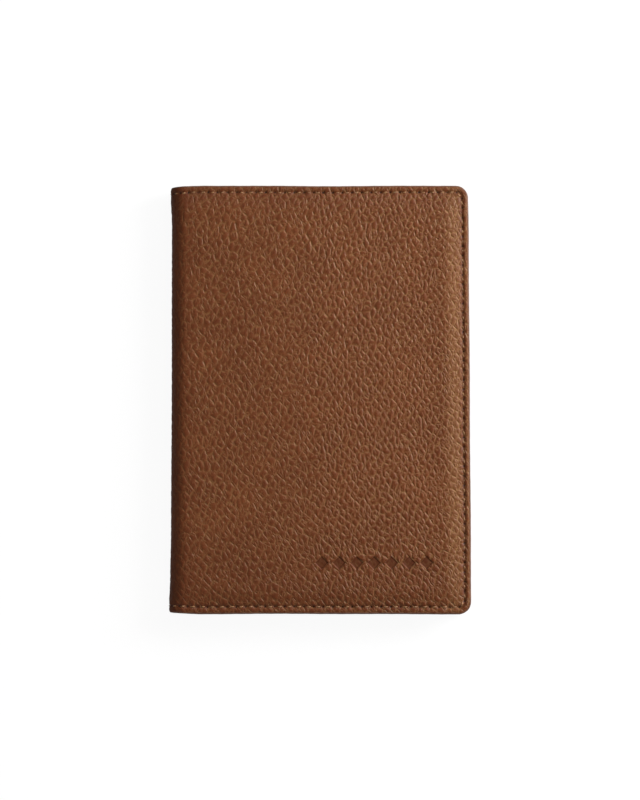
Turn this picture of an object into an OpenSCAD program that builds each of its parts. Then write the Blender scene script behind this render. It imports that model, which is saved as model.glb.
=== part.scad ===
// Leather cover for a pocket notebook, drawn closed and lying on its back cover.
// X runs from the spine to the fore-edge, Y along the spine and Z up through the thickness.
// The origin is at the middle of the bottom face. Sizes are in millimetres.
//
// Each cover is a stack, from the outside in: outer leather, stiffener board, lining, and a
// leather sleeve that takes one cover of the notebook. A lockstitch seam and a coat of edge
// paint run round the three free sides. The spine strip turns about one fold line at each side.

/* [Cover] */
// Height of the cover, along the spine
cover_h = 148; // [110:1:230]
// Width of the closed cover, from the spine to the fore-edge
cover_w = 103; // [80:1:170]
// Radius of the two corners at the fore-edge
corner_r = 4.6; // [3:0.1:12]

/* [Layers] */
// Thickness of the outer leather
leather_t = 1.1; // [0.8:0.1:1.6]
// Thickness of the stiffener board
board_t = 0.8; // [0.4:0.1:1.5]
// Thickness of the lining cloth
lining_t = 0.3; // [0.2:0.05:0.6]
// Thickness of the sleeve leather
sleeve_t = 0.8; // [0.5:0.1:1.2]
// Thickness of the reinforcement strip in the spine
strip_t = 0.4; // [0.2:0.1:0.8]
// Thickness of the coat of paint on the edges
edge_paint_t = 0.35; // [0.2:0.05:0.6]

/* [Room for the notebook] */
// Free height inside each sleeve, for one cover of the notebook
sleeve_gap = 0.7; // [0.4:0.1:2]
// Free height between the two sleeves, for the pages
page_gap = 4.6; // [4.2:0.1:20]
// Width of each sleeve, from the fore-edge to its open side
sleeve_w = 60; // [35:1:75]

/* [Seam] */
// Distance from the edge of the cover to the seam
seam_inset = 2.1; // [1.6:0.1:4]
// Length of one stitch
stitch_l = 3.3; // [2.5:0.1:5]
// Thickness of the thread
thread_d = 0.35; // [0.2:0.05:0.5]

/* [Crown] */
// Width of the slope where the leather climbs from the hem onto the board
slope_w = 4.4; // [2:0.1:10]
// Flat width of the hem inside the seam, before the slope begins
hem_land = 1; // [0.7:0.1:3]

/* [Folds] */
// Depth of each fold line below the outer faces
fold_depth = 1.7; // [1.6:0.1:2.6]
// Clearance between the spine's rolled edge and the covers
fold_clear = 0.3; // [0.2:0.1:1]

/* [Blind mark] */
// Number of lozenges in the pressed mark on the front
mark_count = 7; // [1:1:9]
// Distance between the middles of two lozenges
mark_pitch = 6; // [5:0.5:8]
// Side of one lozenge
mark_side = 3.2; // [1:0.1:3.4]
// Depth of the mark
mark_depth = 0.25; // [0.1:0.05:0.5]
// Distance from the fore-edge to the middle of the mark
mark_from_fore_edge = 33; // [31:1:40]
// Distance from the bottom edge to the middle of the mark
mark_from_bottom = 17.5; // [12:0.5:40]

/* [Hidden] */
$fn = 48;

slab = 0.01;       // thickness of the two ends of a hulled slope
through = 1;       // how far a cutting tool runs past what it cuts
leg_clear = 1.05 * thread_d; // between the two threads that share one needle hole
leg_w = 0.7 * thread_d;      // a stitch's leg is pulled thinner than its bar
board_clear = 0.5; // between the board and the foot of the slope over it
least_r = 0.6;     // least corner radius of an outline that is inset a long way
sleeve_wall = 0.8; // width of the step that lifts a sleeve off the lining
glue_margin = 1.2; // strip beside the fold where leather and lining are glued together

leather_colour = [0.44, 0.27, 0.18];
sleeve_colour = [0.42, 0.26, 0.17];
lining_colour = [0.36, 0.27, 0.20];
board_colour = [0.62, 0.58, 0.52];
paint_colour = [0.30, 0.16, 0.10];
thread_colour = [0.66, 0.45, 0.26];

// Heights in one cover, measured from its outer face
hem_z = board_t;                            // outer face of the hem
lining_z = hem_z + leather_t;               // where the lining begins
inner_z = lining_z + lining_t;              // inner face of the lining
sleeve_hem_z = inner_z + sleeve_t;          // inner face of the sleeve's sewn hem
sleeve_z = inner_z + sleeve_gap;            // underside of the sleeve's raised panel
cover_t = sleeve_z + sleeve_t;              // the whole cover
closed_t = 2 * cover_t + page_gap;          // the closed object

// Places across the width
fore_x = cover_w / 2;
spine_x = -cover_w / 2;
fold_x = spine_x + fold_depth;
panel_x0 = fold_x + fold_depth + fold_clear;  // where a cover's layers begin
sleeve_x0 = fore_x - sleeve_w;                // open side of a sleeve
spine_strip_x = spine_x + leather_t;
spine_lining_x = spine_strip_x + strip_t;
spine_inner_x = spine_lining_x + lining_t;

// Insets from the edge of the cover
slope_inset = seam_inset + hem_land;          // foot of the slope
crown_inset = slope_inset + slope_w;          // head of the slope
sleeve_step_inset = slope_inset;              // where a sleeve leaves the lining

// The seam of one cover: along the top hem, round a corner, down the fore-edge, round the
// other corner and back along the bottom hem.
seam_r = max(corner_r - seam_inset, least_r);
seam_x0 = panel_x0 + glue_margin;
seam_x1 = fore_x - seam_inset - seam_r;
seam_y1 = cover_h / 2 - seam_inset - seam_r;
run_l = seam_x1 - seam_x0;
arc_l = seam_r * PI / 2;
side_l = 2 * seam_y1;
seam_l = 2 * run_l + 2 * arc_l + side_l;
stitches = round(seam_l / stitch_l);
needle_hole_d = 2 * norm([leg_clear / 2 + leg_w, thread_d / 2]) + 0.02;

// The seam across each end of the spine strip, on the flat between the two rolls
spine_flat = closed_t - 4 * fold_depth - 2 * fold_clear;
spine_stitches = max(1, floor(spine_flat / stitch_l));
spine_stitch_l = min(stitch_l, spine_flat / spine_stitches);
spine_seam_l = spine_stitches * spine_stitch_l;
seam_y = cover_h / 2 - seam_inset;

// The point at the distance s along the seam
function seam_point(s) =
    s < run_l ? [seam_x0 + s, seam_y]
    : s < run_l + arc_l ? seam_corner((s - run_l) / seam_r * 180 / PI, 1)
    : s < run_l + arc_l + side_l ? [fore_x - seam_inset, seam_y1 - (s - run_l - arc_l)]
    : s < run_l + 2 * arc_l + side_l
        ? seam_corner(90 - (s - run_l - arc_l - side_l) / seam_r * 180 / PI, -1)
    : [seam_x1 - (s - run_l - 2 * arc_l - side_l), -seam_y];

// A point of a corner's arc, at an angle from the hem towards the fore-edge
function seam_corner(turn, side) =
    [seam_x1 + seam_r * sin(turn), side * (seam_y1 + seam_r * cos(turn))];

function needle_hole(i) = seam_point(i * seam_l / stitches);

function over_sleeve(p) = p[0] > sleeve_x0;

// Inner face of the stack at a point of the seam
function stack_z(p) = over_sleeve(p) ? sleeve_hem_z : inner_z;

// Height at which the two threads lock in the needle hole at a point
function lock_z(p) = (hem_z + stack_z(p)) / 2;

// Outline of one cover, square at the spine side and round at the fore-edge
module outline(x0, inset) {
    r = max(corner_r - inset, least_r);
    x1 = fore_x - inset;
    y1 = cover_h / 2 - inset;
    translate([x0, -y1]) square([x1 - r - x0, 2 * y1]);
    translate([x0, r - y1]) square([x1 - x0, 2 * (y1 - r)]);
    for (side = [-1, 1]) translate([x1 - r, side * (y1 - r)]) circle(r);
}

// A flat sheet of a cover, between two heights
module sheet(x0, inset, z0, z1) {
    translate([0, 0, z0]) linear_extrude(z1 - z0) outline(x0, inset);
}

// A block whose three free sides slope from one inset to another
module sloped(x0, inset_0, z0, inset_1, z1) {
    hull() {
        sheet(x0, inset_0, z0, z0 + slab, $fn = 32);
        sheet(x0, inset_1, z1 - slab, z1, $fn = 32);
    }
}

module needle_holes() {
    for (i = [0 : stitches]) {
        translate(concat(needle_hole(i), [-through]))
            cylinder(d = needle_hole_d, h = cover_t + 2 * through);
    }
}

// One stitch from p to q: a bar on the face of the stack, and a leg down each hole.
// The bar lies from z_bar outwards or inwards by dir, and each leg ends where the threads lock.
module stitch(p, q, z_bar, dir) {
    d = q - p;
    half = norm(d) / 2 - leg_clear / 2;
    leg_p = (lock_z(p) - z_bar) * dir;
    leg_q = (lock_z(q) - z_bar) * dir;
    translate([(p[0] + q[0]) / 2, (p[1] + q[1]) / 2, z_bar])
        rotate([90, 0, atan2(d[1], d[0])])
            translate([0, 0, -thread_d / 2])
                linear_extrude(thread_d)
                    polygon([
                        [-half, -dir * thread_d], [half, -dir * thread_d],
                        [half, dir * leg_q], [half - leg_w, dir * leg_q],
                        [half - leg_w, 0], [leg_w - half, 0],
                        [leg_w - half, dir * leg_p], [-half, dir * leg_p],
                    ]);
}

module cover_leather() {
    difference() {
        union() {
            sheet(panel_x0, edge_paint_t, hem_z, lining_z);
            sloped(panel_x0, crown_inset, 0, slope_inset, hem_z + slab);
        }
        sloped(
            panel_x0 + glue_margin,
            crown_inset, leather_t,
            slope_inset + leather_t * hem_z / slope_w, lining_z + slab
        );
        needle_holes();
    }
}

module cover_board() {
    sheet(panel_x0 + glue_margin + board_clear, crown_inset + board_clear, leather_t, lining_z);
}

module cover_lining() {
    difference() {
        sheet(panel_x0, edge_paint_t, lining_z, inner_z);
        needle_holes();
    }
}

module cover_sleeve() {
    difference() {
        union() {
            sheet(sleeve_x0, edge_paint_t, inner_z, sleeve_hem_z);
            sheet(sleeve_x0, sleeve_step_inset, inner_z, cover_t);
        }
        sheet(sleeve_x0 - through, sleeve_step_inset + sleeve_wall, inner_z - through, sleeve_z);
        needle_holes();
    }
}

module cover_edge_paint() {
    difference() {
        union() {
            sheet(panel_x0, 0, hem_z, inner_z);
            sheet(sleeve_x0, 0, inner_z, sleeve_hem_z);
        }
        sheet(panel_x0 - through, edge_paint_t, hem_z - through, sleeve_hem_z + through);
    }
}

module cover_needle_thread() {
    for (i = [0 : stitches - 1]) {
        stitch(needle_hole(i), needle_hole(i + 1), hem_z, 1);
    }
}

module cover_bobbin_thread() {
    for (i = [0 : stitches - 1]) {
        p = needle_hole(i);
        q = needle_hole(i + 1);
        stitch(p, q, max(stack_z(p), stack_z(q)), -1);
    }
}

// Turns what is drawn for the back cover over to make the front cover
module flip() {
    translate([0, 0, closed_t]) mirror([0, 0, 1]) children();
}

// A row of plain lozenges, pressed into the front cover's outer face
module blind_mark() {
    for (i = [0 : mark_count - 1]) {
        translate([
            fore_x - mark_from_fore_edge + (i - (mark_count - 1) / 2) * mark_pitch,
            mark_from_bottom - cover_h / 2,
            closed_t - mark_depth
        ])
            rotate(45)
                translate([-mark_side / 2, -mark_side / 2, 0])
                    cube([mark_side, mark_side, mark_depth + through]);
    }
}

// A section of the spine drawn with X across and Y up, carried along the spine from y0 to y1
module along_spine(y0, y1) {
    translate([0, y1, 0]) rotate([90, 0, 0]) linear_extrude(y1 - y0) children();
}

// The leather of the spine in section: a flat strip with a roll round each fold line
module skin_section() {
    translate([spine_x, fold_depth]) square([leather_t, closed_t - 2 * fold_depth]);
    for (z = [fold_depth, closed_t - fold_depth]) {
        translate([fold_x, z]) circle(fold_depth);
    }
}

// A layer behind the leather of the spine in section, clear of both rolls
module backing_section(x0, x1) {
    z0 = 2 * fold_depth + fold_clear;
    translate([x0, z0]) square([x1 - x0, closed_t - 2 * z0]);
}

module spine_needle_holes() {
    for (side = [-1, 1], i = [0 : spine_stitches]) {
        z = closed_t / 2 - spine_seam_l / 2 + i * spine_stitch_l;
        translate([spine_x - through, side * seam_y, z])
            rotate([0, 90, 0])
                cylinder(d = needle_hole_d, h = spine_inner_x - spine_x + 2 * through);
    }
}

// The dent that the seam pulls across each end of the spine's outer face
module spine_seam_dent() {
    for (side = [-1, 1]) {
        translate([spine_x - through, side * seam_y - thread_d, closed_t / 2 - spine_seam_l / 2 - thread_d])
            cube([through + thread_d, 2 * thread_d, spine_seam_l + 2 * thread_d]);
    }
}

// Stitches across both ends of the spine: a bar from x_bar outwards, legs to x_lock
module spine_stitch_rows(x_bar, x_out, x_lock) {
    for (side = [-1, 1], i = [0 : spine_stitches - 1]) {
        z0 = closed_t / 2 - spine_seam_l / 2 + i * spine_stitch_l + leg_clear / 2;
        z1 = z0 + spine_stitch_l - leg_clear;
        translate([0, side * seam_y + thread_d / 2, 0])
            rotate([90, 0, 0])
                linear_extrude(thread_d)
                    polygon([
                        [x_out, z0], [x_lock, z0], [x_lock, z0 + leg_w], [x_bar, z0 + leg_w],
                        [x_bar, z1 - leg_w], [x_lock, z1 - leg_w], [x_lock, z1], [x_out, z1],
                    ]);
    }
}

module back_leather() { color(leather_colour) cover_leather(); }
module back_board() { color(board_colour) cover_board(); }
module back_lining() { color(lining_colour) cover_lining(); }
module back_sleeve() { color(sleeve_colour) cover_sleeve(); }
module back_edge_paint() { color(paint_colour) cover_edge_paint(); }
module back_needle_thread() { color(thread_colour) cover_needle_thread(); }
module back_bobbin_thread() { color(thread_colour) cover_bobbin_thread(); }

module front_leather() {
    color(leather_colour) difference() {
        flip() cover_leather();
        blind_mark();
    }
}
module front_board() { color(board_colour) flip() cover_board(); }
module front_lining() { color(lining_colour) flip() cover_lining(); }
module front_sleeve() { color(sleeve_colour) flip() cover_sleeve(); }
module front_edge_paint() { color(paint_colour) flip() cover_edge_paint(); }
module front_needle_thread() { color(thread_colour) flip() cover_needle_thread(); }
module front_bobbin_thread() { color(thread_colour) flip() cover_bobbin_thread(); }

module spine_leather() {
    color(leather_colour) difference() {
        along_spine(edge_paint_t - cover_h / 2, cover_h / 2 - edge_paint_t) skin_section();
        spine_seam_dent();
        spine_needle_holes();
    }
}

module spine_strip() {
    color(board_colour) difference() {
        along_spine(edge_paint_t - cover_h / 2, cover_h / 2 - edge_paint_t)
            backing_section(spine_strip_x, spine_lining_x);
        spine_needle_holes();
    }
}

module spine_lining() {
    color(lining_colour) difference() {
        along_spine(edge_paint_t - cover_h / 2, cover_h / 2 - edge_paint_t)
            backing_section(spine_lining_x, spine_inner_x);
        spine_needle_holes();
    }
}

module spine_edge_paint() {
    color(paint_colour) for (y0 = [-cover_h / 2, cover_h / 2 - edge_paint_t]) {
        along_spine(y0, y0 + edge_paint_t) {
            skin_section();
            backing_section(spine_strip_x, spine_inner_x);
        }
    }
}

module spine_needle_thread() {
    color(thread_colour)
        spine_stitch_rows(spine_x + thread_d, spine_x, (spine_x + spine_inner_x) / 2);
}

module spine_bobbin_thread() {
    color(thread_colour)
        spine_stitch_rows(spine_inner_x, spine_inner_x + thread_d, (spine_x + spine_inner_x) / 2);
}

back_leather();
back_board();
back_lining();
back_sleeve();
back_edge_paint();
back_needle_thread();
back_bobbin_thread();
spine_leather();
spine_strip();
spine_lining();
spine_edge_paint();
spine_needle_thread();
spine_bobbin_thread();
front_leather();
front_board();
front_lining();
front_sleeve();
front_edge_paint();
front_needle_thread();
front_bobbin_thread();
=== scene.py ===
import math

import bpy
import numpy as np
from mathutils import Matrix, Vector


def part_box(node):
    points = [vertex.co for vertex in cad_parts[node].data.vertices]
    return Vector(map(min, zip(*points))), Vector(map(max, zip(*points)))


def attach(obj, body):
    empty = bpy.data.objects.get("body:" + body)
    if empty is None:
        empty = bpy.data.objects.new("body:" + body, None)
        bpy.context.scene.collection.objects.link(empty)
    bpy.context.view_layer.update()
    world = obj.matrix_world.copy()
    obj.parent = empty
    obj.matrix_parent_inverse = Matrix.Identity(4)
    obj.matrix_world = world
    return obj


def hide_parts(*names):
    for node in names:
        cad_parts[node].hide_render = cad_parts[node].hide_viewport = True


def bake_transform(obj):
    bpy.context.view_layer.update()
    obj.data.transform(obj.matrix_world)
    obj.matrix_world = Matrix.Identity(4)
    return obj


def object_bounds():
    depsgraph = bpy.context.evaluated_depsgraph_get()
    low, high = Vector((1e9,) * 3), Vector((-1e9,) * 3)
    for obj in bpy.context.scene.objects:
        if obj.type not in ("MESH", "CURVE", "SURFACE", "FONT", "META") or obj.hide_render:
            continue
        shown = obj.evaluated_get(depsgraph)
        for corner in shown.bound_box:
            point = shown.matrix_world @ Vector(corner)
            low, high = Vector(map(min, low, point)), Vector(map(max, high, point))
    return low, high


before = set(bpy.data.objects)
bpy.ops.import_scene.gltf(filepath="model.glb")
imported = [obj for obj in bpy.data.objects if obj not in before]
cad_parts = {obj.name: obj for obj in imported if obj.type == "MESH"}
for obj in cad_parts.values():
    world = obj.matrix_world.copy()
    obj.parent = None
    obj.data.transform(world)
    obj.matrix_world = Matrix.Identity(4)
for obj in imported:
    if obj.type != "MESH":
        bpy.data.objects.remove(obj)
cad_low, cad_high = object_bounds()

# Leather cover for a pocket notebook. Every soft piece is drawn flat, in the plane of the
# unrolled cover, and then laid round the closed shape by place(). Lengths are in millimetres.

MM = 0.001

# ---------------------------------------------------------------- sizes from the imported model

X_SPINE, X_FORE = cad_low.x / MM, cad_high.x / MM
HALF_H = cad_high.y / MM
THICK = cad_high.z / MM


def box_mm(node):
    low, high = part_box(node)
    return np.array(low) / MM, np.array(high) / MM


HEM = box_mm("back_edge_paint")[0][2]
LINING_OUT = box_mm("back_lining")[0][2]
LINING_IN = box_mm("back_lining")[1][2]
SLEEVE_HEM = box_mm("back_edge_paint")[1][2]
SLEEVE_TOP = box_mm("back_sleeve")[1][2]
SLEEVE_X0 = box_mm("back_sleeve")[0][0]
LEATHER = LINING_OUT - HEM
SPINE_LINING_OUT = box_mm("spine_lining")[0][0] - X_SPINE
SPINE_LINING_IN = box_mm("spine_lining")[1][0] - X_SPINE
SLEEVE = 0.8        # thickness of the sleeve's leather
FOLD_R = 5.3        # outside radius of the fold beside the spine
CORNER_R = 4.3      # radius of the fore-edge corners
HEM_W = 3.4         # width of the hem, where the mesh is finer
LINING_INSET = 0.4  # from the edge to the lining's cut edge
SEAM_IN_S = 2.24    # distance from the fore-edge to the seam
SEAM_IN_Y = 2.4     # distance from the top and bottom edges to the seam
SEAM_R = 1.3        # radius at which the seam turns the corners
PITCH = 3.32        # length of one stitch
THREAD_R = 0.22     # radius of the thread
RIM_DROP = 0.38     # how far the leather's rim rolls down to the cut edge
GRAIN = 0.14        # depth of the creases between the pebbles
CREASE = 0.24       # half the width of a crease, in pebbles
PEBBLE_RANDOM = 0.62    # 0 for a regular lattice of pebbles, 1 for a random one

# Lengths along the section, from the middle of the spine round the fold to the fore-edge.
SPINE_FLAT = THICK / 2 - FOLD_R                     # the fold begins
S_PANEL = SPINE_FLAT + FOLD_R * math.pi / 2         # the flat cover begins
S_END = S_PANEL + X_FORE - X_SPINE - FOLD_R         # the fore-edge
S_SLEEVE = S_PANEL + SLEEVE_X0 - X_SPINE - FOLD_R   # the free edge of the sleeve

BACK, FRONT = -1, 1


def half_name(piece, side):
    return piece + ("_front" if side == FRONT else "_back")


# ---------------------------------------------------------------- laying the flat cover round

def step(x, a, b):
    """0 before a, 1 after b, smooth between."""
    t = np.clip((x - a) / (b - a), 0, 1)
    return t * t * (3 - 2 * t)


def place(s, y, d, side):
    """Where a point of the flat cover lies on the closed one: s along the section from the spine's
    middle, y along the spine, d in from the outer face."""
    s, y, d = np.broadcast_arrays(*(np.asarray(v, float) for v in (s, y, d)))
    turn = np.clip((s - SPINE_FLAT) / FOLD_R, 0, math.pi / 2)
    x = X_SPINE + FOLD_R - (FOLD_R - d) * np.cos(turn) + np.maximum(s - S_PANEL, 0)
    z = THICK - FOLD_R + (FOLD_R - d) * np.sin(turn) + np.minimum(s - SPINE_FLAT, 0)
    y, x = bowed(s, y, x)
    return np.stack([x, y, z if side == FRONT else THICK - z], -1)


def bowed(s, y, x):
    """The small ways in which a sewn cover is out of true."""
    pinch = 0.0016 + 0.0070 * (1 - step(s, 0, 16))
    wave = 0.07 * np.sin(s * 0.062 + np.sign(y) * 1.3) + 0.045 * np.sin(s * 0.151 + 2.0)
    rim = step(np.abs(y), HALF_H - 12, HALF_H)
    sway = 0.16 - 0.32 * y / HALF_H - 0.25 * step(y, HALF_H - 18, HALF_H) + 0.05 * np.sin(y * 0.117)
    fore = step(s, S_END - 20, S_END)
    slump = 0.22 + 0.25 * step(-y, HALF_H - 28, HALF_H - 12)
    return y * (1 - pinch) + wave * rim, x + sway * fore - slump * (1 - step(s, 2, 16))


def distance_inside(s, y, end, half, r):
    """Distance in from the line along y = half, s = end and y = -half, with corners of radius r."""
    qx, qy = s - (end - r), np.abs(y) - (half - r)
    corner = np.hypot(np.maximum(qx, 0), np.maximum(qy, 0))
    return r - np.where((qx > 0) & (qy > 0), corner, np.maximum(qx, qy))


def edge_distance(s, y):
    """Distance in from the nearest free edge."""
    return distance_inside(s, y, S_END, HALF_H, CORNER_R)


def seam_distance(s, y):
    """Distance from the seam's line."""
    return np.abs(distance_inside(s, y, S_END - SEAM_IN_S, HALF_H - SEAM_IN_Y, SEAM_R))


def soft_edge_distance(s, y, k=1.6):
    """Distance in from the free edges, blended over k, for a crown whose corners are rounder."""
    a, b = S_END - s, HALF_H - np.abs(y)
    low = np.minimum(a, b)
    return low - k * np.log1p(np.exp(-np.abs(a - b) / k)) + k * 0.02


def rounded_path(end, half, r, run, bend_points, down):
    """Points along the same kind of line: out along the top at each s in run, round the corner,
    down the fore-edge at each y in down, round and back along the bottom."""
    turn = np.linspace(0, math.pi / 2, bend_points)[1:-1]
    top = np.stack([run, np.full_like(run, half)], -1)
    bend = np.stack([end - r + r * np.sin(turn), half - r + r * np.cos(turn)], -1)
    fore = np.stack([np.full_like(down, end), down], -1)
    return np.concatenate([top, bend, fore, bend[::-1] * [1, -1], top[::-1] * [1, -1]])


def panel_share(s):
    """0 on the spine, 1 on the cover."""
    return step(s, SPINE_FLAT + 0.5, S_PANEL + 1.0)


# ---------------------------------------------------------------- node trees

class Tree:
    """Short names for making and linking nodes."""

    def __init__(self, tree):
        self.tree = tree

    def add(self, kind, inputs=None, **props):
        n = self.tree.nodes.new(kind)
        for k, v in props.items():
            setattr(n, k, v)
        for k, v in (inputs or {}).items():
            if isinstance(v, bpy.types.NodeSocket):
                self.tree.links.new(v, n.inputs[k])
            else:
                n.inputs[k].default_value = v
        return n

    def math(self, op, a, b=0.0, c=0.0):
        return self.add("ShaderNodeMath", {0: a, 1: b, 2: c}, operation=op).outputs[0]

    def vmath(self, op, a, b=(0, 0, 0)):
        return self.add("ShaderNodeVectorMath", {0: a, 1: b}, operation=op).outputs[0]

    def scaled(self, a, f):
        n = self.add("ShaderNodeVectorMath", {0: a}, operation="SCALE")
        n.inputs["Scale"].default_value = f
        return n.outputs[0]

    def ramp(self, x, a, b, lo=0.0, hi=1.0):
        n = self.add("ShaderNodeMapRange", {0: x, 1: a, 2: b, 3: lo, 4: hi})
        n.interpolation_type = "SMOOTHSTEP"
        return n.outputs[0]

    def noise(self, v, scale, detail=2.0, rough=0.5, dims="3D"):
        n = self.add("ShaderNodeTexNoise", {"Vector": v, "Scale": scale}, noise_dimensions=dims)
        n.inputs["Detail"].default_value = detail
        n.inputs["Roughness"].default_value = rough
        return n

    def cells(self, v, scale, feature="DISTANCE_TO_EDGE", random=0.95):
        n = self.add("ShaderNodeTexVoronoi", {"Vector": v, "Scale": scale},
                     voronoi_dimensions="2D", feature=feature)
        n.inputs["Randomness"].default_value = random
        return n.outputs["Distance"]

    def mix(self, f, a, b):
        n = self.add("ShaderNodeMix", data_type="RGBA")
        for i, v in ((0, f), (6, a), (7, b)):
            if isinstance(v, bpy.types.NodeSocket):
                self.tree.links.new(v, n.inputs[i])
            else:
                n.inputs[i].default_value = v if i == 0 else (*v, 1.0)
        return n.outputs[2]


def pebbles(t, q):
    """The pebbled grain at q, which counts in pebbles: the rounded height of the pebbles, and how
    deep a point is in the creases. Creases that lean one way are deeper than the ones that cross
    them, and a second, finer net of wrinkles runs over the pebbles."""
    drift = t.noise(q, 0.30, 2.0, 0.45, "2D").outputs["Color"]
    drift = t.scaled(t.vmath("SUBTRACT", drift, (0.5, 0.5, 0.5)), 0.9)
    q = t.vmath("ADD", q, drift)
    edge = t.cells(q, 1.0, random=PEBBLE_RANDOM)
    dome = t.ramp(edge, 0.0, 0.40)
    steep = t.math("MULTIPLY", edge, -2.0)
    for x in (-CREASE, CREASE):
        beside = t.cells(t.vmath("ADD", q, (x, 0.0, 0.0)), 1.0, random=PEBBLE_RANDOM)
        steep = t.math("ADD", steep, beside)
    steep = t.ramp(steep, 0.0, 2 * CREASE)
    every = t.ramp(edge, 0.0, CREASE, 0.68, 0.0)
    broken = t.ramp(t.noise(q, 1.6, 1.0, 0.5, "2D").outputs[0], 0.38, 0.62, 0.20, 1.0)
    crease = t.math("MULTIPLY", t.math("MAXIMUM", steep, every), broken)
    other = t.vmath("ADD", q, (31.7, 11.3, 0))
    some = t.ramp(t.noise(other, 1.4, 1.0, 0.5, "2D").outputs[0], 0.38, 0.64)
    wrinkle = t.ramp(t.cells(other, 1.55, random=0.9), 0.0, 0.26, 1.0, 0.0)
    wrinkle = t.math("MULTIPLY", wrinkle, some)
    high = t.math("MULTIPLY_ADD", wrinkle, -0.30, dome)
    return high, t.math("MAXIMUM", crease, t.math("MULTIPLY", wrinkle, 0.55))


def sample_pebbles(q):
    """The height of the same grain at many points, for the mesh."""
    mesh = bpy.data.meshes.new("grain_points")
    mesh.from_pydata([], [], [])
    mesh.vertices.add(len(q))
    co = np.zeros((len(q), 3), np.float32)
    co[:, :2] = q
    mesh.vertices.foreach_set("co", co.ravel())
    obj = bpy.data.objects.new("grain_points", mesh)
    bpy.context.collection.objects.link(obj)
    group = bpy.data.node_groups.new("grain_points", "GeometryNodeTree")
    group.interface.new_socket("Geometry", in_out="INPUT", socket_type="NodeSocketGeometry")
    group.interface.new_socket("Geometry", in_out="OUTPUT", socket_type="NodeSocketGeometry")
    t = Tree(group)
    source = t.add("NodeGroupInput")
    where = t.add("GeometryNodeInputPosition").outputs[0]
    high, _ = pebbles(t, where)
    offset = t.add("ShaderNodeCombineXYZ", {"Z": high}).outputs[0]
    moved = t.add("GeometryNodeSetPosition", {"Geometry": source.outputs[0], "Offset": offset})
    t.add("NodeGroupOutput", {0: moved.outputs[0]})
    obj.modifiers.new("grain", "NODES").node_group = group
    shown = obj.evaluated_get(bpy.context.evaluated_depsgraph_get()).data
    out = np.zeros(len(q) * 3, np.float32)
    shown.vertices.foreach_get("co", out)
    bpy.data.objects.remove(obj)
    bpy.data.meshes.remove(mesh)
    bpy.data.node_groups.remove(group)
    return out.reshape(-1, 3)[:, 2].astype(float)


def grain_coords(s, y, side):
    """Flat cover to pebble counts. The pebbles are lozenges, longer than wide, upright near the
    top and leaning towards the bottom, and they are smaller towards the fore-edge."""
    s = np.asarray(s, float) * side
    u = s + 0.04 * y - 0.0019 * y * y
    across = 0.325 * u + 0.0003 * u * np.abs(u)
    along = y * (0.215 + 0.0006 * np.abs(s))
    return across + along, across - along


def grain_height(s, y, side):
    """0 in the creases of the grain, 1 on its pebbles."""
    across, along = grain_coords(s, y, side)
    return sample_pebbles(np.stack([across.ravel(), along.ravel()], -1)).reshape(s.shape)


# ---------------------------------------------------------------- meshes

def make_object(name, verts, faces, attributes=None, smooth=True):
    mesh = bpy.data.meshes.new(name)
    mesh.from_pydata(np.asarray(verts, float) * MM, [], faces)
    if smooth:
        mesh.polygons.foreach_set("use_smooth", np.ones(len(mesh.polygons), bool))
    for key, values in (attributes or {}).items():
        values = np.asarray(values, np.float32)
        kind = "FLOAT_VECTOR" if values.ndim == 2 else "FLOAT"
        a = mesh.attributes.new(key, kind, "POINT")
        a.data.foreach_set("vector" if values.ndim == 2 else "value", values.ravel())
    mesh.update()
    obj = bpy.data.objects.new(name, mesh)
    bpy.context.collection.objects.link(obj)
    return obj


def volume(verts, faces):
    """Volume inside the faces, below 0 if they face inwards."""
    v = np.asarray(verts, float)
    total = 0.0
    for k in {len(face) for face in faces}:
        f = np.array([face for face in faces if len(face) == k], int)
        for i in range(1, k - 1):
            a, b, c = v[f[:, 0]], v[f[:, i]], v[f[:, i + 1]]
            total += np.einsum("ij,ij->i", a, np.cross(b, c)).sum() / 6
    return total


def facing_out(verts, faces):
    """The faces, all turned over if they face inwards."""
    return faces if volume(verts, faces) >= 0 else [face[::-1] for face in faces]


def lines(a, b, coarse, zones=()):
    """Grid lines from a to b, closer together inside each (low, high, spacing)."""
    cuts = sorted({a, b, *(z for low, high, _ in zones for z in (low, high) if a < z < b)})
    out = []
    for p, q in zip(cuts, cuts[1:]):
        gap = min([g for low, high, g in zones if low <= (p + q) / 2 <= high] + [coarse])
        out.extend(np.linspace(p, q, max(1, round((q - p) / gap)) + 1)[:-1])
    return np.array(out + [b])


def round_corners(s, y, inset):
    """Bends a square grid so that its two fore-edge corners are round."""
    r = CORNER_R - inset
    s1, y1 = S_END - inset, HALF_H - inset
    a = np.clip((s - (s1 - r)) / r, 0, 1)
    b = np.clip((np.abs(y) - (y1 - r)) / r, 0, 1)
    inside = (a > 0) & (b > 0)
    s = np.where(inside, s1 - r + r * a * np.sqrt(1 - b * b / 2), s)
    y = np.where(inside, np.sign(y) * (y1 - r + r * b * np.sqrt(1 - a * a / 2)), y)
    return s, y


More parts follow.
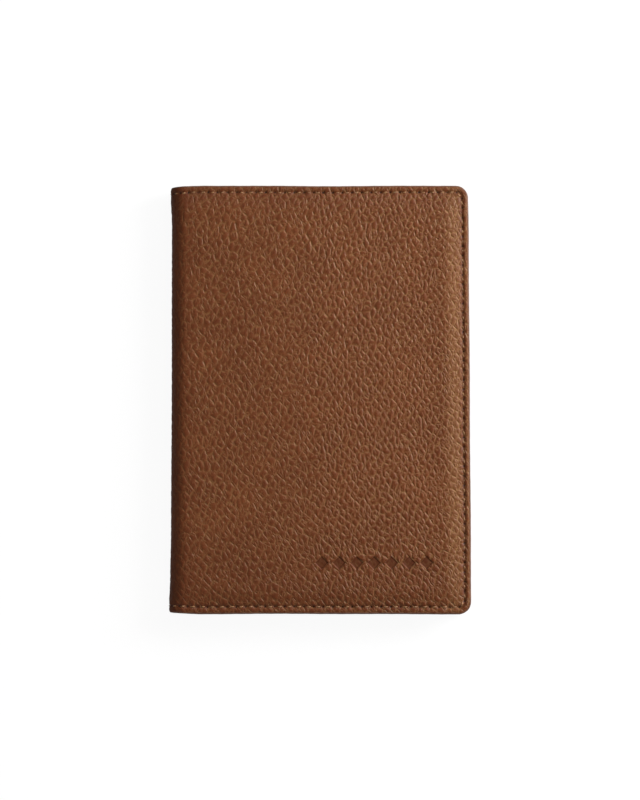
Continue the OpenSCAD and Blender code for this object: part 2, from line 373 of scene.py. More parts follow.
def slab(name, side, ls, ly, inset, fine_depth, coarse_depth, skip, extra=None):
    """A closed sheet over the grid ls by ly. One face has every grid line and follows
    fine_depth(s, y), the other every skip-th line and follows coarse_depth(s, y)."""
    S, Y = round_corners(*np.meshgrid(ls, ly, indexing="ij"), inset)
    ns, ny = S.shape
    fine = place(S, Y, fine_depth(S, Y), side).reshape(-1, 3)
    index = np.arange(ns * ny).reshape(ns, ny)
    quads = np.stack([index[:-1, :-1], index[1:, :-1], index[1:, 1:], index[:-1, 1:]], -1)
    faces = quads.reshape(-1, 4).tolist()
    rows = sorted({*range(0, ns - 1, skip), ns - 1})
    cols = sorted({*range(0, ny - 1, skip), ny - 1})
    Sc, Yc = S[np.ix_(rows, cols)], Y[np.ix_(rows, cols)]
    coarse = place(Sc, Yc, coarse_depth(Sc, Yc), side).reshape(-1, 3)
    back = np.arange(len(rows) * len(cols)).reshape(len(rows), len(cols)) + ns * ny
    quads = np.stack([back[:-1, :-1], back[:-1, 1:], back[1:, 1:], back[1:, :-1]], -1)
    faces += quads.reshape(-1, 4).tolist()

    def wall(top, marks, low, flip):
        """Triangles between a fine border and a coarse one."""
        for k in range(len(marks) - 1):
            a, b = marks[k], marks[k + 1]
            mid = (a + b) // 2
            tris = [(top[i], low[k], top[i + 1]) for i in range(a, mid)]
            tris.append((top[mid], low[k], low[k + 1]))
            tris += [(top[i], low[k + 1], top[i + 1]) for i in range(mid, b)]
            faces.extend([t[::-1] for t in tris] if flip else tris)

    wall(index[0].tolist(), cols, back[0].tolist(), True)
    wall(index[-1].tolist(), cols, back[-1].tolist(), False)
    wall(index[:, 0].tolist(), rows, back[:, 0].tolist(), False)
    wall(index[:, -1].tolist(), rows, back[:, -1].tolist(), True)
    verts = np.concatenate([fine, coarse])
    s_all = np.concatenate([S.ravel(), Sc.ravel()])
    y_all = np.concatenate([Y.ravel(), Yc.ravel()])
    across, along = grain_coords(s_all, y_all, side)
    zero = np.zeros_like(s_all)
    attributes = {
        "grain": np.stack([across, along, zero], -1),
        "flat": np.stack([s_all * side, y_all, edge_distance(s_all, y_all)], -1),
    }
    for key, f in (extra or {}).items():
        attributes[key] = f(s_all, y_all)
    return make_object(name, verts, facing_out(verts, faces), attributes)


# ---------------------------------------------------------------- the seam

def seam_path():
    """Points along the seam, half a millimetre apart or closer."""
    s1, y1 = S_END - SEAM_IN_S - SEAM_R, HALF_H - SEAM_IN_Y - SEAM_R
    run, down = np.linspace(0, s1, 400), np.linspace(y1, -y1, 500)
    return rounded_path(S_END - SEAM_IN_S, HALF_H - SEAM_IN_Y, SEAM_R, run, 24, down)


def along_path(path, distances):
    """The points at these distances along the path."""
    gaps = np.hypot(*np.diff(path, axis=0).T)
    run = np.concatenate([[0], np.cumsum(gaps)])
    return np.stack([np.interp(distances, run, path[:, i]) for i in (0, 1)], -1)


def path_length(path):
    return np.hypot(*np.diff(path, axis=0).T).sum()


SEAM = seam_path()
STITCHES = round(path_length(SEAM) / PITCH)
HOLES = along_path(SEAM, np.linspace(0, path_length(SEAM), STITCHES + 1))


def seam_share(s):
    """The seam is pulled down harder along the fore-edge than along the top and bottom."""
    return 0.45 + 0.55 * step(s, S_END - 5.5, S_END - 3.0)


def near_hole(s, y, width):
    """1 at a needle hole, falling to 0 over width."""
    s, y = np.asarray(s, float), np.asarray(y, float)
    out = np.zeros(s.shape)
    close = seam_distance(s, y) < 3 * width
    if close.any():
        d2 = (s[close][:, None] - HOLES[:, 0]) ** 2 + (y[close][:, None] - HOLES[:, 1]) ** 2
        out[close] = np.exp(-d2.min(1) / width ** 2)
    return out


# ---------------------------------------------------------------- outer leather

MARK_N, MARK_PITCH, MARK_HALF = 7, 6.0, 2.26
MARK_S = S_END - 33.0
MARK_Y = 17.5 - HALF_H
MARK_DEPTH = 0.30


def mark_inside(s, y):
    """How far inside a lozenge of the pressed mark a point is, below 0 outside."""
    k = np.clip(np.round((s - MARK_S) / MARK_PITCH), -(MARK_N // 2), MARK_N // 2)
    return MARK_HALF - np.abs(s - MARK_S - k * MARK_PITCH) - np.abs(y - MARK_Y)


def hem_shape(s, y):
    """Depth of the outer face without grain: crown, hem, seam trench and rim."""
    e = edge_distance(s, y)
    share = panel_share(s)
    rise = np.clip((soft_edge_distance(s, y) - 2.8) / 6.0, 0, 1)
    d = HEM * share * (1 - rise) ** 1.5
    trench = 0.13 + 0.11 * share * seam_share(s)
    d = d + trench * np.exp(-(seam_distance(s, y) / 0.50) ** 2)
    d = d + RIM_DROP * (1 - step(e, -0.1, 1.25)) ** 1.5
    d = d + 0.30 * (1 - share) * step(HALF_H - np.abs(y), 3, 13)
    sag = 0.05 * (np.sin(s * 0.083 + y * 0.031) + np.sin(y * 0.071 - s * 0.027 + 1.7))
    d = d + (0.10 + sag) * step(e, 4, 16)
    return np.maximum(d, 0)


def leather_depth(side):
    """Depth of the outer face with grain, pressed mark and needle holes."""
    def depth(s, y):
        d = hem_shape(s, y)
        high = grain_height(s, y, side)
        pressed = step(mark_inside(s, y), -0.25, 0.25) if side == FRONT else 0.0 * s
        e = edge_distance(s, y)
        calm = 0.35 + 0.65 * step(e, 1.2, 3.4)
        coarser = 0.75 + 0.4 * s / S_END
        d = d + GRAIN * calm * (1 - 0.75 * pressed) * (1 - high) * coarser
        d = d + MARK_DEPTH * pressed
        d = d + 0.50 * near_hole(s, y, 0.45)
        return np.maximum(d, 0.0)
    return depth


def leather_back_depth(s, y):
    """Depth of the leather's inner face, which rises over the board and meets it."""
    rise = np.clip((soft_edge_distance(s, y) - 3.1) / 6.0, 0, 1)
    return LEATHER + HEM * (1 - rise) ** 2 * panel_share(s)


def outer_leather(side):
    zones_s = [(S_END - HEM_W, S_END, 0.27)]
    zones_y = [(-HALF_H, -HALF_H + HEM_W, 0.27), (HALF_H - HEM_W, HALF_H, 0.27)]
    if side == FRONT:
        reach = MARK_PITCH * (MARK_N - 1) / 2 + MARK_HALF + 0.4
        zones_s.append((MARK_S - reach, MARK_S + reach, 0.30))
        zones_y.append((MARK_Y - MARK_HALF - 0.4, MARK_Y + MARK_HALF + 0.4, 0.25))
    ls = lines(0, S_END - 0.3, 0.52, zones_s)
    ly = lines(0.3 - HALF_H, HALF_H - 0.3, 0.52, zones_y)
    # hole and groove mark where painted shade goes: in the needle holes and in the seam's groove.
    extra = {"hole": lambda s, y: near_hole(s, y, 0.40),
             "groove": lambda s, y: seam_share(s) * np.exp(-(seam_distance(s, y) / 0.62) ** 2)}
    return slab(half_name("outer_leather", side), side, ls, ly, 0.3,
                leather_depth(side), leather_back_depth, 4, extra)


# ---------------------------------------------------------------- lining and sleeves

def lining_out_depth(s, y):
    return SPINE_LINING_OUT + (LINING_OUT - SPINE_LINING_OUT) * panel_share(s)


def lining_face_depth(s):
    """Depth of the lining's inner face, before its ripples."""
    return SPINE_LINING_IN + (LINING_IN - SPINE_LINING_IN) * panel_share(s)


def lining_in_depth(s, y):
    ripple = 0.02 * np.sin(s * 0.21 + y * 0.05) * np.sin(y * 0.13)
    d = lining_face_depth(s) + ripple * 0.5
    return d - 0.07 * np.exp(-(seam_distance(s, y) / 0.6) ** 2)


def lining(side):
    ls = lines(0, S_END - LINING_INSET, 0.9)
    ly = lines(LINING_INSET - HALF_H, HALF_H - LINING_INSET, 0.9)
    return slab(half_name("lining", side), side, ls, ly, LINING_INSET,
                lining_in_depth, lining_out_depth, 1)


def sleeve_lift(s, y):
    """0 at the hem, 1 where the sleeve lies free above the lining."""
    return step(soft_edge_distance(s, y, 1.2), 2.5, 6.5)


def on_sleeve(s):
    """0 on the lining's part of the hem, 1 on the sleeve's."""
    return step(s, S_SLEEVE - 0.1, S_SLEEVE + 0.35)


def sleeve_top_depth(side):
    def depth(s, y):
        lift = sleeve_lift(s, y)
        d = SLEEVE_HEM + (SLEEVE_TOP - SLEEVE_HEM) * lift
        d = d - 0.20 * np.exp(-(seam_distance(s, y) / 0.55) ** 2)
        d = d - 0.30 * near_hole(s, y, 0.42)
        free = s - S_SLEEVE
        d = d - 0.13 * np.exp(-((free - 2.2) / 0.38) ** 2)
        d = d - 0.26 * (1 - step(free, 0.0, 0.55)) ** 2
        return d - 0.05 * (1 - grain_height(s, y, side)) * step(free, 0.2, 3)
    return depth


def sleeve_under_depth(s, y):
    free = s - S_SLEEVE
    base = SLEEVE_HEM - SLEEVE + (SLEEVE_TOP - SLEEVE_HEM) * sleeve_lift(s, y)
    return base + 0.01 + 0.22 * (1 - step(free, 0.0, 0.5)) ** 2


def sleeve(side):
    zones_s = [(S_END - HEM_W, S_END, 0.35), (S_SLEEVE, S_SLEEVE + 3, 0.14)]
    zones_y = [(-HALF_H, -HALF_H + HEM_W, 0.35), (HALF_H - HEM_W, HALF_H, 0.35)]
    ls = lines(S_SLEEVE, S_END - 0.35, 0.6, zones_s)
    ly = lines(0.35 - HALF_H, HALF_H - 0.35, 0.6, zones_y)
    # hole marks where painted shade goes in the needle holes.
    extra = {"hole": lambda s, y: near_hole(s, y, 0.40)}
    return slab(half_name("sleeve", side), side, ls, ly, 0.35,
                sleeve_top_depth(side), sleeve_under_depth, 3, extra)


# ---------------------------------------------------------------- strip in the spine

STRIP_HALF = 1.9    # the strip stays clear of the two folds
STRIP_PLAY = 0.06   # between the strip and the leather or the lining


def core_strip():
    """The reinforcement strip, bent round the spine between leather and lining."""
    s = np.linspace(-STRIP_HALF, STRIP_HALF, 13)
    low, high = box_mm("spine_strip")
    y = lines(low[1], high[1], 2.0)
    S, Y = np.meshgrid(s, y, indexing="ij")
    count = S.size
    rows = []
    for d in (LEATHER + STRIP_PLAY, SPINE_LINING_OUT - STRIP_PLAY):
        upper = place(np.abs(S), Y, d, FRONT)
        lower = place(np.abs(S), Y, d, BACK)
        rows.append(np.where((S >= 0)[..., None], upper, lower).reshape(-1, 3))
    index = np.arange(count).reshape(S.shape)
    quads = np.stack([index[:-1, :-1], index[1:, :-1], index[1:, 1:], index[:-1, 1:]], -1)
    faces = quads.reshape(-1, 4).tolist() + (quads[..., ::-1] + count).reshape(-1, 4).tolist()
    border = [*index[:-1, 0], *index[-1, :-1], *index[:0:-1, -1], *index[0, :0:-1]]
    for a, b in zip(border, border[1:] + border[:1]):
        faces.append([int(b), int(a), int(a) + count, int(b) + count])
    verts = np.concatenate(rows)
    return make_object("core_strip", verts, facing_out(verts, faces), smooth=False)


# ---------------------------------------------------------------- painted edge

def edge_path():
    """Points along the free edges, with one very close to each end. The ends are at the middle of
    the spine, where the two halves meet, and the close points keep the shading even there."""
    s1, y1 = S_END - CORNER_R, HALF_H - CORNER_R
    run, down = lines(0, s1, 0.7), lines(-y1, y1, 0.8)[::-1]
    path = rounded_path(S_END, HALF_H, CORNER_R, run, 26, down)
    close = path[[0, -1]] + 0.02 * (path[[1, -2]] - path[[0, -1]])
    return np.concatenate([path[:1], close[:1], path[1:-1], close[1:], path[-1:]])


def inner_hem_depth(s):
    """Depth of the stack's inner face at the edge."""
    return lining_face_depth(s) + (SLEEVE_HEM - LINING_IN) * on_sleeve(s)


def edge_paint(side):
    """A rounded bead of paint round the free edges, from face to face."""
    path = edge_path()
    n = len(path)
    ahead = np.gradient(path, axis=0)
    ahead /= np.linalg.norm(ahead, axis=1, keepdims=True)
    out = np.stack([-ahead[:, 1], ahead[:, 0]], -1)
    outer = HEM * panel_share(path[:, 0]) + 0.60 * RIM_DROP
    inner = inner_hem_depth(path[:, 0])
    half, mid = (inner - outer) / 2, (inner + outer) / 2
    angles = np.linspace(-90, 90, 15) * math.pi / 180
    rim = [(-0.55 + 0.53 * np.abs(np.cos(a)) ** 0.55, np.sign(a) * np.abs(np.sin(a)) ** 0.8)
           for a in angles]
    rim += [(-0.75, 0.75), (-0.75, 0.0), (-0.75, -0.75)]
    rings = []
    lump = 0.03 * np.sin(np.arange(n) * 0.9) * np.sin(np.arange(n) * 0.37)
    for o, h in rim:
        shift = o + (lump if o > -0.3 else 0)
        at = path + out * np.broadcast_to(shift, n)[:, None]
        rings.append(place(at[:, 0], at[:, 1], mid + h * half * 1.03, side))
    verts = np.stack(rings, 1)
    k = verts.shape[1]
    index = np.arange(n * k).reshape(n, k)
    nxt = np.roll(index, -1, 1)
    quads = np.stack([index[:-1], nxt[:-1], nxt[1:], index[1:]], -1)
    faces = quads.reshape(-1, 4).tolist()
    flat = verts.reshape(-1, 3).tolist()
    for ring, flip in ((index[0], True), (index[-1], False)):
        middle = len(flat)
        flat.append(np.mean([flat[i] for i in ring], 0).tolist())
        for i in range(k):
            tri = [int(ring[i]), int(ring[(i + 1) % k]), middle]
            faces.append(tri if flip else tri[::-1])
    s_all = np.concatenate([np.repeat(path[:, 0], k), [0, 0]])
    y_all = np.concatenate([np.repeat(path[:, 1], k), path[[0, -1], 1]])
    coords = np.stack([s_all * side, y_all, np.zeros_like(s_all)], -1)
    name = half_name("edge_paint", side)
    return make_object(name, flat, facing_out(flat, faces), {"flat": coords})


# ---------------------------------------------------------------- thread

def thread(name, side, inner):
    """One side of the lockstitch: short two-ply stitches that dive into the needle holes."""
    rings, sides = 17, 10
    t = np.linspace(0, 1, rings)
    verts, faces, coords = [], [], []
    random = np.random.default_rng(7 if inner else 3)
    for i, (p, q) in enumerate(zip(HOLES, HOLES[1:])):
        along = (q - p) / np.linalg.norm(q - p)
        across = np.array([-along[1], along[0]])
        slant = 0.0 if inner else -0.34
        shift = random.normal(0, 0.03) + slant * (1 - 2 * t)
        line = p + np.outer(t, q - p) + np.outer(shift, across)
        hump = np.sin(np.pi * t)
        if inner:
            lift = on_sleeve(line[:, 0])
            depth = inner_hem_depth(line[:, 0]) - 0.20 * lift - 0.07 * (1 - lift)
            depth = depth - 0.42 + 0.60 * hump ** 0.6
        else:
            sunk = 0.10 * step(S_END - line[:, 0], 5, 3) + 0.09 * step(line[:, 1], 0, 60)
            depth = hem_shape(line[:, 0], line[:, 1]) + 0.62 + sunk - 0.67 * hump ** 2.2
            depth = depth + random.normal(0, 0.03)
        radius = THREAD_R * (0.84 + 0.16 * hump)
        twist = 2 * math.pi * (t * 1.6 + random.random())
        start = len(verts)
        rim = []
        for a in np.arange(sides) * 2 * math.pi / sides:
            reach = radius * (1 + 0.13 * np.cos(2 * (a + twist)))
            at = line + np.outer(reach * math.cos(a), across)
            rim.append(place(at[:, 0], at[:, 1], depth + 0.85 * reach * math.sin(a), side))
        verts.extend(np.stack(rim, 1).reshape(-1, 3).tolist())
        for m in range(rings):
            row = [start + m * sides + k for k in range(sides)]
            coords += [(t[m] * PITCH, k / sides, float(i)) for k in range(sides)]
            if m + 1 < rings:
                faces += [[row[k], row[k - sides + 1], row[k - sides + 1] + sides, row[k] + sides]
                          for k in range(sides)]
        faces.append([start + k for k in range(sides)][::-1])
        faces.append([start + (rings - 1) * sides + k for k in range(sides)])
    return make_object(name, verts, facing_out(verts, faces), {"strand": np.array(coords)})


# ---------------------------------------------------------------- materials

def material(name):
    m = bpy.data.materials.new(name)
    m.use_nodes = True
    m.node_tree.nodes.clear()
    t = Tree(m.node_tree)
    shader = t.add("ShaderNodeBsdfPrincipled")
    t.add("ShaderNodeOutputMaterial", {"Surface": shader.outputs[0]})
    return m, t, shader


def attribute(t, name, kind="Vector"):
    node = t.add("ShaderNodeAttribute", attribute_name=name, attribute_type="GEOMETRY")
    return node.outputs[kind]


def darker(color, *share):
    """The colour with each channel cut to its share, or all of them to one share."""
    return tuple(v * f for v, f in zip(color, share * 3 if len(share) == 1 else share))


def bump(t, height, distance, strength=1.0, normal=None):
    inputs = {"Height": height, "Distance": distance, "Strength": strength}
    if normal is not None:
        inputs["Normal"] = normal
    return t.add("ShaderNodeBump", inputs).outputs[0]


# Shares of the worn colour in the leather: wear and painted highlight in the creases, painted
# highlight elsewhere.
CREASE_WEAR_AND_HIGHLIGHT = 0.78      # in the creases
SLOPE_HIGHLIGHT = 0.10      # on the slopes of the pebbles
BAND_HIGHLIGHT = 0.20        # in the band inside the fore-edge's seam
RIM_HIGHLIGHT = 0.32         # on the fore-edge's rim

# Shares of the dark colour.
SHADED_TOP = 0.14
SHADED_BOTTOM = 0.20
SHADED_FOLD = 0.26
SHADED_GROOVE = 0.42
SHADED_MARK = 0.65

# Painted shade inside the needle holes.
HOLE_SHADE_COLOR = (0.028, 0.0095, 0.0036)


def leather_material(name, dark, light, wear_and_highlight_color, grain_bump, marked=False):
    """Pebbled leather, mottled. Wear and painted highlight lighten the creases, more towards the
    fore-edge; painted highlight lightens the pebbles' slopes, the band inside the fore-edge's seam
    and its rim; painted shade darkens the seam, the needle holes, the top, the bottom and the fold."""
    m, t, shader = material(name)
    q = attribute(t, "grain")
    flat = attribute(t, "flat")
    s, y, _ = t.add("ShaderNodeSeparateXYZ", {0: flat}).outputs
    high, crease = pebbles(t, q)
    patch = t.noise(flat, 0.055, 3.0, 0.6).outputs[0]
    mottle = t.noise(q, 0.8, 3.0, 0.6).outputs[0]
    tone = t.math("MULTIPLY_ADD", patch, 0.75, t.math("MULTIPLY", mottle, 0.25))
    color = t.mix(t.ramp(tone, 0.25, 0.75), dark, light)
    speck = t.noise(t.vmath("MULTIPLY", q, (1.0, 1.2, 1.0)), 3.4, 2.0, 0.55).outputs[0]
    color = t.mix(t.ramp(speck, 0.34, 0.56, 0.42, 0.0), color, darker(dark, 0.55))

    # How strongly the creases are lightened by wear and painted highlight: patchy, stronger towards
    # the fore-edge, weaker on the fold.
    patchy = t.ramp(t.noise(q, 0.9, 2.0, 0.5).outputs[0], 0.35, 0.65, 0.65, 1.0)
    from_spine = t.math("ABSOLUTE", s)
    fore = t.math("MULTIPLY", t.ramp(s, 10.0, 90.0, 0.78, 1.02),
                  t.ramp(from_spine, 4.0, 13.0, 0.45, 1.0))
    strength = t.math("MULTIPLY", fore, patchy)
    wear_and_highlight = t.math("MULTIPLY", crease, strength)
    # Painted highlight on the band inside the fore-edge's seam and on the fore-edge's rim.
    lit_band = t.math("MULTIPLY", t.ramp(s, S_END - 9.5, S_END - 5.5), BAND_HIGHLIGHT)
    lit_band = t.math("MULTIPLY", lit_band, t.ramp(s, S_END - 4.0, S_END - 2.6, 1.0, 0.0))
    edge = t.math("MULTIPLY_ADD", t.ramp(s, S_END - 1.1, S_END - 0.3), RIM_HIGHLIGHT, lit_band)
    # Painted highlight on the pebbles' slopes.
    slope_light = t.math("MULTIPLY", t.math("SUBTRACT", 1.0, high), strength)
    share = t.math("MULTIPLY_ADD", wear_and_highlight, CREASE_WEAR_AND_HIGHLIGHT, edge)
    share = t.math("MULTIPLY_ADD", slope_light, SLOPE_HIGHLIGHT, share)
    color = t.mix(t.math("MINIMUM", share, 1.0), color, wear_and_highlight_color)

    if marked:
        plain = pressed_mark(t, s, y)
        shade = t.math("MULTIPLY", t.math("SUBTRACT", 1.0, plain), SHADED_MARK)
        color = t.mix(shade, color, darker(dark, 0.62))
    shaded = t.math("MULTIPLY", t.ramp(y, HALF_H - 9.0, HALF_H - 4.5), SHADED_TOP)
    bottom = t.ramp(y, 34.0 - HALF_H, 5.0 - HALF_H)
    shaded = t.math("MULTIPLY_ADD", bottom, SHADED_BOTTOM, shaded)
    shaded = t.math("MULTIPLY_ADD", t.ramp(from_spine, 16.0, 7.0), SHADED_FOLD, shaded)
    color = t.mix(shaded, color, darker(dark, 0.62, 0.50, 0.45))
    groove = t.math("MULTIPLY", attribute(t, "groove", "Fac"), SHADED_GROOVE)
    color = t.mix(groove, color, darker(dark, 0.45))
    # Painted shade in the needle holes.
    hole = attribute(t, "hole", "Fac")
    color = t.mix(t.ramp(hole, 0.25, 0.8), color, HOLE_SHADE_COLOR)
    t.tree.links.new(color, shader.inputs["Base Color"])

    pores = t.cells(t.vmath("ADD", q, (3.1, 8.7, 0)), 9.0, "F1", 1.0)
    fibre = t.noise(q, 7.5, 3.0, 0.65).outputs[0]
    fine = t.math("MULTIPLY_ADD", t.ramp(pores, 0.0, 0.45), 0.35, t.math("MULTIPLY", fibre, 0.65))
    relief = t.math("MULTIPLY", crease, t.math("MULTIPLY_ADD", patchy, 0.4, 0.6))
    relief = t.math("MULTIPLY", relief, t.math("MULTIPLY", fore, -1.0))
    if marked:
        relief = t.math("MULTIPLY", relief, t.math("MULTIPLY_ADD", plain, 0.8, 0.2))
    normal = bump(t, relief, grain_bump)
    normal = bump(t, fine, 0.00003, 1.0, normal)
    if marked:
        normal = bump(t, plain, 0.00036, 1.0, normal)
    t.tree.links.new(normal, shader.inputs["Normal"])
    gloss = t.math("MULTIPLY_ADD", mottle, 0.16, t.math("MULTIPLY_ADD", wear_and_highlight, -0.05, 0.38))
    t.tree.links.new(gloss, shader.inputs["Roughness"])
    shader.inputs["Specular IOR Level"].default_value = 0.20
    return m


def pressed_mark(t, s, y):
    """0 inside the lozenges of the pressed mark, 1 outside them."""
    last = MARK_N // 2
    across = t.math("DIVIDE", t.math("SUBTRACT", s, MARK_S), MARK_PITCH)
    nearest = t.math("MINIMUM", t.math("MAXIMUM", t.math("ROUND", across), -last), last)
    across = t.math("ABSOLUTE", t.math("MULTIPLY", t.math("SUBTRACT", across, nearest), MARK_PITCH))
    along = t.math("ABSOLUTE", t.math("SUBTRACT", y, MARK_Y))
    return t.ramp(t.math("ADD", across, along), MARK_HALF - 0.22, MARK_HALF + 0.22)


def paint_material(name):
    m, t, shader = material(name)
    flat = attribute(t, "flat")
    along = t.noise(flat, 0.35, 3.0, 0.6).outputs[0]
    color = t.mix(t.ramp(along, 0.3, 0.7), (0.115, 0.044, 0.020), (0.165, 0.070, 0.034))
    t.tree.links.new(color, shader.inputs["Base Color"])
    rough = t.noise(flat, 2.2, 2.0, 0.5).outputs[0]
    t.tree.links.new(bump(t, rough, 0.00004), shader.inputs["Normal"])
    t.tree.links.new(t.math("MULTIPLY_ADD", along, 0.2, 0.28), shader.inputs["Roughness"])
    shader.inputs["Specular IOR Level"].default_value = 0.45
    return m


def thread_material(name, dark, light):
    m, t, shader = material(name)
    strand = attribute(t, "strand")
    fibre = t.noise(t.vmath("MULTIPLY", strand, (3.0, 26.0, 5.0)), 1.0, 3.0, 0.6).outputs[0]
    piece = t.noise(t.vmath("MULTIPLY", strand, (0.0, 0.0, 1.7)), 1.0, 0.0).outputs[0]
    tone = t.math("MULTIPLY_ADD", fibre, 0.7, t.math("MULTIPLY", piece, 0.3))
    t.tree.links.new(t.mix(t.ramp(tone, 0.3, 0.7), dark, light), shader.inputs["Base Color"])
    t.tree.links.new(bump(t, fibre, 0.00005), shader.inputs["Normal"])
    t.tree.links.new(t.math("MULTIPLY_ADD", fibre, 0.25, 0.42), shader.inputs["Roughness"])
    shader.inputs["Sheen Weight"].default_value = 0.15
    return m


WEAVE_PITCH = 0.55


def lining_material(name):
    """Plain-woven lining cloth, with thicker threads here and there."""
    m, t, shader = material(name)
    flat = attribute(t, "flat")
    s, y, _ = t.add("ShaderNodeSeparateXYZ", {0: flat}).outputs
    turns = 2 * math.pi / WEAVE_PITCH
    over = t.math("MULTIPLY", t.math("SINE", t.math("MULTIPLY", s, turns)),
                  t.math("SINE", t.math("MULTIPLY", y, turns)))
    weave = t.math("ABSOLUTE", over)
    slub = t.noise(t.vmath("MULTIPLY", flat, (0.25, 2.4, 1.0)), 1.0, 3.0, 0.6).outputs[0]
    slub2 = t.noise(t.vmath("MULTIPLY", flat, (2.4, 0.25, 1.0)), 1.0, 3.0, 0.6).outputs[0]
    tone = t.math("MULTIPLY_ADD", t.ramp(over, -0.6, 0.6), 0.45,
                  t.math("MULTIPLY", t.math("ADD", slub, slub2), 0.28))
    color = t.mix(t.ramp(tone, 0.2, 0.85), (0.070, 0.031, 0.014), (0.180, 0.092, 0.045))
    t.tree.links.new(color, shader.inputs["Base Color"])
    high = t.math("MULTIPLY_ADD", weave, 0.7, t.math("MULTIPLY", slub, 0.3))
    t.tree.links.new(bump(t, high, 0.00009), shader.inputs["Normal"])
    t.tree.links.new(t.math("MULTIPLY_ADD", slub, 0.15, 0.72), shader.inputs["Roughness"])
    shader.inputs["Specular IOR Level"].default_value = 0.12
    shader.inputs["Sheen Weight"].default_value = 0.06
    shader.inputs["Sheen Tint"].default_value = (0.8, 0.55, 0.38, 1.0)
    return m


def board_material(name):
    m, t, shader = material(name)
    where = t.scaled(t.add("ShaderNodeTexCoord").outputs["Object"], 1000.0)
    pulp = t.noise(where, 1.4, 5.0, 0.7).outputs[0]
    fleck = t.noise(t.vmath("MULTIPLY", where, (3.0, 0.8, 3.0)), 1.0, 2.0, 0.6).outputs[0]
    tone = t.math("MULTIPLY_ADD", pulp, 0.6, t.math("MULTIPLY", fleck, 0.4))
    t.tree.links.new(t.mix(t.ramp(tone, 0.35, 0.65), (0.25, 0.205, 0.155), (0.42, 0.36, 0.28)),
                     shader.inputs["Base Color"])
    t.tree.links.new(bump(t, pulp, 0.00006), shader.inputs["Normal"])
    t.tree.links.new(t.math("MULTIPLY_ADD", pulp, 0.1, 0.85), shader.inputs["Roughness"])
    return m


# Dark, light and worn colour; the worn colour also paints highlights.
COVER_COLORS = (0.117, 0.0280, 0.0072), (0.161, 0.0425, 0.0115), (0.262, 0.131, 0.048)
SLEEVE_COLORS = (0.110, 0.036, 0.014), (0.150, 0.052, 0.021), (0.180, 0.075, 0.037)
FRONT_MAT = leather_material("front_leather", *COVER_COLORS, 0.00019, marked=True)
BACK_MAT = leather_material("back_leather", *COVER_COLORS, 0.00019)
SLEEVE_MAT = leather_material("sleeve_leather", *SLEEVE_COLORS, 0.00006)
PAINT_MAT = paint_material("edge_paint")
THREAD_MAT = thread_material("waxed_thread", (0.150, 0.060, 0.018), (0.350, 0.170, 0.054))
LINING_MAT = lining_material("woven_lining")
BOARD_MAT = board_material("pulp_board")


# ---------------------------------------------------------------- pieces and how they move

def cover(obj):
    """Bakes a piece's transform into its mesh."""
    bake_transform(obj)


def finish_piece(obj, mat, slot, *nodes):
    """Gives a piece its material and hides the nodes it replaces; slot is not used."""
    obj.data.materials.append(mat)
    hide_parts(*nodes)
    return obj


for side, word, body in ((FRONT, "front", "front_cover"), (BACK, "back", "back_cover")):
    skin = FRONT_MAT if side == FRONT else BACK_MAT
    skin = finish_piece(outer_leather(side), skin, "leather", word + "_leather", "spine_leather")
    cover(skin)
    cloth = finish_piece(lining(side), LINING_MAT, "lining", word + "_lining", "spine_lining")
    cover(cloth)
    pocket = finish_piece(sleeve(side), SLEEVE_MAT, "sleeve", word + "_sleeve")
    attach(pocket, body)
    rim = finish_piece(edge_paint(side), PAINT_MAT, "edge_paint",
                       word + "_edge_paint", "spine_edge_paint")
    cover(rim)
    outside = finish_piece(thread("needle_thread_" + word, side, False), THREAD_MAT, "thread",
                           word + "_needle_thread", "spine_needle_thread")
    cover(outside)
    inside = finish_piece(thread("bobbin_thread_" + word, side, True), THREAD_MAT, "thread",
                          word + "_bobbin_thread", "spine_bobbin_thread")
    cover(inside)

for node in ("back_board", "front_board"):
    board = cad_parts[node]
    board.data.materials.clear()
    board.data.materials.append(BOARD_MAT)

core = finish_piece(core_strip(), BOARD_MAT, "board", "spine_strip")
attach(core, "spine")


# ---------------------------------------------------------------- studio

def area_light(name, where, size, watts):
    """A light that points at the middle of the cover."""
    light = bpy.data.lights.new(name, "AREA")
    light.shape = "RECTANGLE"
    light.size, light.size_y = size
    light.energy = watts
    obj = bpy.data.objects.new(name, light)
    bpy.context.collection.objects.link(obj)
    obj.location = where
    obj.rotation_mode = "QUATERNION"
    obj.rotation_quaternion = (-obj.location).to_track_quat("-Z", "Y")


area_light("key_light", (0.50, 0.22, 0.27), (0.30, 0.45), 6.25)
area_light("top_light", (0.35, 0.80, 0.60), (0.6, 0.6), 2.6)
area_light("fill_light", (-0.45, -0.80, 0.35), (0.6, 0.6), 0.8)

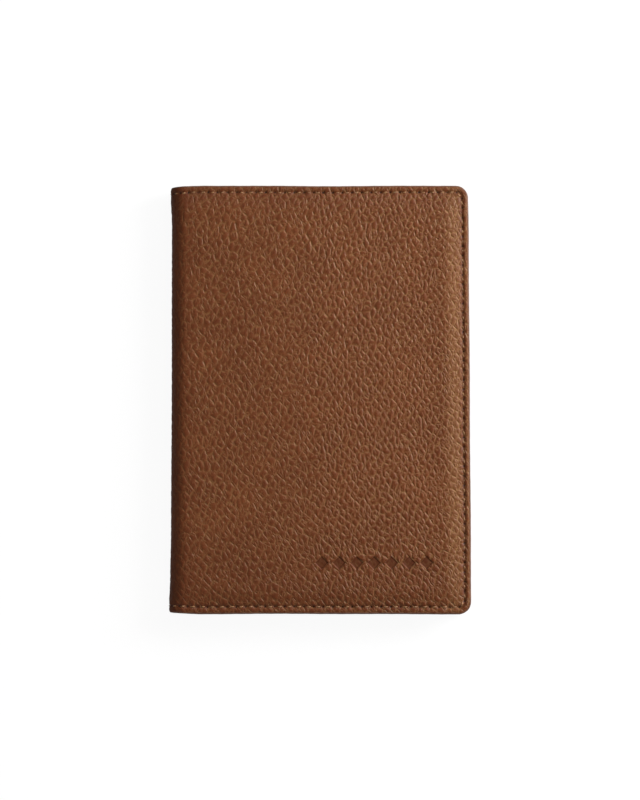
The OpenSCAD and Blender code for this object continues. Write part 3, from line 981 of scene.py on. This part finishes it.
world = bpy.data.worlds.new("studio")
bpy.context.scene.world = world
world.use_nodes = True
world.node_tree.nodes["Background"].inputs[0].default_value = (1.0, 1.0, 1.0, 1.0)
world.node_tree.nodes["Background"].inputs[1].default_value = 0.245


def staged(name, verts, faces, base, glow):
    """A part of the studio that only the camera sees."""
    mesh = bpy.data.meshes.new(name)
    mesh.from_pydata(verts, [], faces)
    obj = bpy.data.objects.new(name, mesh)
    bpy.context.collection.objects.link(obj)
    mat, _, shader = material(name)
    shader.inputs["Base Color"].default_value = (base, base, base, 1)
    shader.inputs["Roughness"].default_value = 0.9
    shader.inputs["Specular IOR Level"].default_value = 0.0
    shader.inputs["Emission Color"].default_value = (1, 1, 1, 1)
    shader.inputs["Emission Strength"].default_value = glow
    mesh.materials.append(mat)
    obj.visible_diffuse = False
    obj.visible_glossy = False
    return obj


# The studio is in metres.
ROOM = 4.0
FLOOR_Z = -0.0003
corners = [(x * ROOM, y * ROOM) for x, y in ((-1, -1), (1, -1), (1, 1), (-1, 1))]
staged("floor", [(x, y, FLOOR_Z) for x, y in corners], [(0, 1, 2, 3)], 0.10, 0.93)
walls = [(x, y, z) for z in (FLOOR_Z - ROOM, ROOM) for x, y in corners]
wall_faces = [(i, i + 4, (i + 1) % 4 + 4, (i + 1) % 4) for i in range(4)]
backdrop = staged("backdrop", walls, wall_faces, 0.0, 0.90)
backdrop.visible_shadow = False

CAMERA_FAR = 1.4
CAMERA_TILT = math.radians(3.6)
VIEW_H = 0.2752     # what the longer side of the frame takes in, at the front cover
CAMERA_Y = -0.0004
camera = bpy.data.objects.new("camera", bpy.data.cameras.new("camera"))
bpy.context.collection.objects.link(camera)
camera.data.sensor_width = 36.0
camera.data.lens = 36.0 * CAMERA_FAR / VIEW_H
camera.location = (
    0.0,
    CAMERA_Y - CAMERA_FAR * math.sin(CAMERA_TILT),
    THICK * MM + CAMERA_FAR * math.cos(CAMERA_TILT),
)
camera.rotation_euler = (CAMERA_TILT, 0.0, 0.0)
camera.data.clip_end = 20.0
bpy.context.scene.camera = camera
bpy.context.scene.view_settings.view_transform = "Standard"
bpy.context.scene.view_settings.look = "None"
